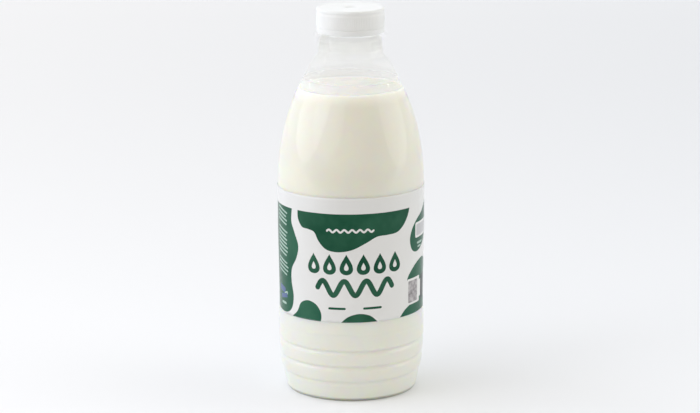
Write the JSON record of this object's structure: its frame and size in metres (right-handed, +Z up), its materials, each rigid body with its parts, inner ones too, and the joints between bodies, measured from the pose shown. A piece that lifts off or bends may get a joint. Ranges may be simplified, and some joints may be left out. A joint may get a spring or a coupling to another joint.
{
  "type": "milk bottle",
  "caption": "Capped clear plastic bottle of milk with a sloping shoulder, a wrapped film label with a green patch pattern, grip grooves and a white screw cap.",
  "frame": {"origin": "middle of the flat standing ring under the bottle", "axes": "+Z up along the bottle's axis to the cap, the front of the label faces -Y, +X to the right seen from the front"},
  "size_m": [0.0856, 0.0856, 0.224],
  "materials": {
    "clear_plastic": "clear, smooth and glossy, thin blow-moulded wall",
    "milk": "opaque cream-white liquid",
    "cap_plastic": "white moulded plastic, satin",
    "label_film": "thin white printed film with dark green patches, soft sheen"
  },
  "bodies": {
    "root": {"bottle": "clear_plastic", "milk": "milk", "cap": "cap_plastic", "tamper_band": "cap_plastic", "label": "label_film"}
  },
  "joints": []
}
